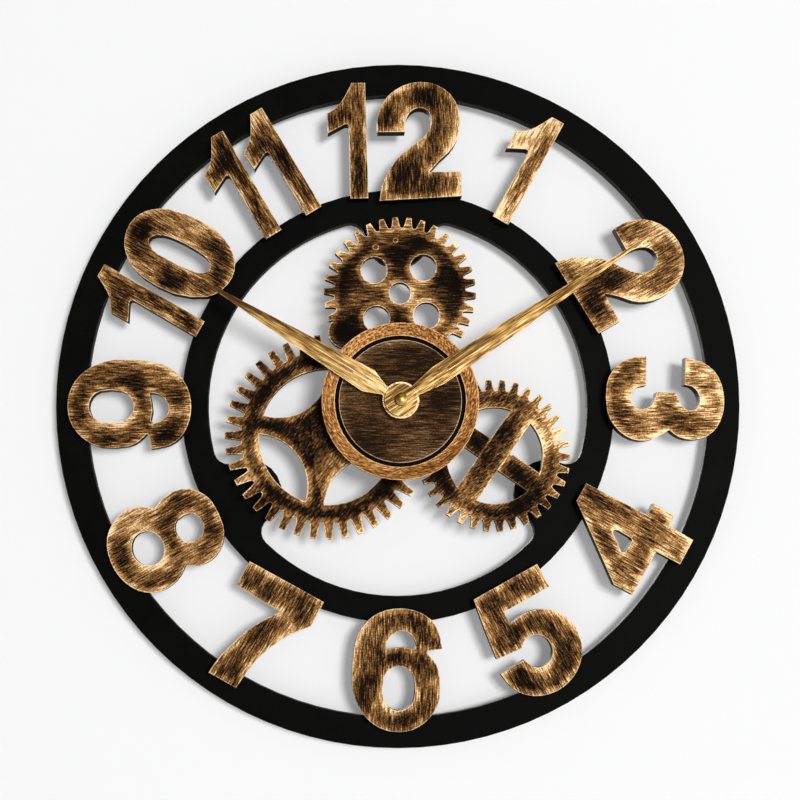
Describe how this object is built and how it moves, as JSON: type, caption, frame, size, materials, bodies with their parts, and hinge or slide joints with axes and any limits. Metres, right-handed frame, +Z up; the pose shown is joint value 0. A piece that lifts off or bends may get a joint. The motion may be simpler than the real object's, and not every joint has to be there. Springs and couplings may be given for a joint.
{
  "type": "wall clock",
  "caption": "Round open-frame wall clock with two flat rings, cut-out numerals, toothed plates behind a hub, pointed hands and a battery movement.",
  "frame": {"origin": "on the hands' axis, on the plane of the movement's back, which meets the wall", "axes": "+Y into the wall, so the face looks along -Y; +Z up; +X to the right as the dial is read"},
  "size_m": [0.45, 0.0517, 0.45],
  "materials": {
    "black_paint": "satin black paint",
    "dark_bronze_paint": "dark bronze paint, brushed, worn edges",
    "bronze_paint": "bronze paint, mottled, worn edges",
    "copper_paint": "copper paint, mottled",
    "gold_metal": "gold with dark streaks",
    "brass": "polished",
    "steel": "plain",
    "copper_wire": "enamelled wire",
    "black_plastic": "moulded, fine grain",
    "white_plastic": "moulded",
    "rubber": "matt",
    "board_green": "solder mask",
    "battery_sleeve": "plain sleeve"
  },
  "bodies": {
    "clock_frame": {"outer_ring": "black_paint", "inner_ring": "black_paint", "numeral_12_one": "dark_bronze_paint", "numeral_12_two": "dark_bronze_paint", "numeral_1": "dark_bronze_paint", "numeral_2": "dark_bronze_paint", "numeral_3": "dark_bronze_paint", "numeral_4": "dark_bronze_paint", "numeral_5": "dark_bronze_paint", "numeral_6": "dark_bronze_paint", "numeral_7": "dark_bronze_paint", "numeral_8": "dark_bronze_paint", "numeral_9": "dark_bronze_paint", "numeral_10_one": "dark_bronze_paint", "numeral_10_zero": "dark_bronze_paint", "numeral_11_first": "dark_bronze_paint", "numeral_11_second": "dark_bronze_paint", "top_gear_plate": "bronze_paint", "right_gear_plate": "bronze_paint", "left_gear_plate": "dark_bronze_paint", "top_gear_post": "black_paint", "left_gear_post": "black_paint", "right_gear_post": "black_paint", "hub_carrier": "black_paint", "hub_drum": "black_paint", "hub_rim": "copper_paint", "hub_face": "dark_bronze_paint", "threaded_bush": "brass", "rubber_washer": "rubber", "hex_nut": "brass", "movement_case": "black_plastic", "movement_cover": "black_plastic", "battery": "battery_sleeve", "contact_plus": "steel", "contact_minus": "steel", "train_bridge": "brass", "train_plate": "brass", "stator": "steel", "coil_core": "steel", "coil": "copper_wire", "circuit_board": "board_green", "crystal_can": "steel"},
    "minute_hand": {"minute_hand": "gold_metal", "minute_arbor": "steel", "cap_nut": "brass"},
    "hour_hand": {"hour_hand": "gold_metal", "hour_wheel": "white_plastic"},
    "minute_wheel": {"minute_wheel": "white_plastic", "setting_knob": "white_plastic"},
    "centre_wheel": {"centre_wheel": "brass"},
    "third_wheel": {"third_wheel": "white_plastic"},
    "fourth_wheel": {"fourth_wheel": "white_plastic"},
    "intermediate_wheel": {"intermediate_wheel": "white_plastic"},
    "rotor": {"rotor": "steel"}
  },
  "joints": [
    {"name": "minute_hand_turn", "type": "hinge", "parent": "clock_frame", "child": "minute_hand", "pos_m": [0, -0.01, 0], "axis": [0, 1, 0], "continuous": true},
    {"name": "hour_hand_turn", "type": "hinge", "parent": "clock_frame", "child": "hour_hand", "pos_m": [0, -0.01, 0], "axis": [0, 1, 0], "continuous": true},
    {"name": "minute_wheel_turn", "type": "hinge", "parent": "clock_frame", "child": "minute_wheel", "pos_m": [-0.00566, -0.01, 0.00566], "axis": [0, 1, 0], "continuous": true},
    {"name": "fourth_wheel_turn", "type": "hinge", "parent": "clock_frame", "child": "fourth_wheel", "pos_m": [0, -0.01, 0], "axis": [0, 1, 0], "continuous": true},
    {"name": "rotor_turn", "type": "hinge", "parent": "clock_frame", "child": "rotor", "pos_m": [0.01273, -0.01, 0.00201], "axis": [0, 1, 0], "continuous": true},
    {"name": "intermediate_wheel_turn", "type": "hinge", "parent": "clock_frame", "child": "intermediate_wheel", "pos_m": [0.0072, -0.01, 0], "axis": [0, 1, 0], "continuous": true},
    {"name": "third_wheel_turn", "type": "hinge", "parent": "clock_frame", "child": "third_wheel", "pos_m": [0.00269, -0.01, 0.0074], "axis": [0, 1, 0], "continuous": true},
    {"name": "centre_wheel_turn", "type": "hinge", "parent": "clock_frame", "child": "centre_wheel", "pos_m": [0, -0.01, 0], "axis": [0, 1, 0], "continuous": true}
  ],
  "couplings": [
    {"joint": "hour_hand_turn", "follows": "minute_hand_turn", "ratio": 0.083333},
    {"joint": "minute_wheel_turn", "follows": "minute_hand_turn", "ratio": -0.33333},
    {"joint": "rotor_turn", "follows": "fourth_wheel_turn", "ratio": 30},
    {"joint": "intermediate_wheel_turn", "follows": "fourth_wheel_turn", "ratio": -5},
    {"joint": "third_wheel_turn", "follows": "fourth_wheel_turn", "ratio": -0.13333},
    {"joint": "centre_wheel_turn", "follows": "fourth_wheel_turn", "ratio": 0.016667}
  ]
}
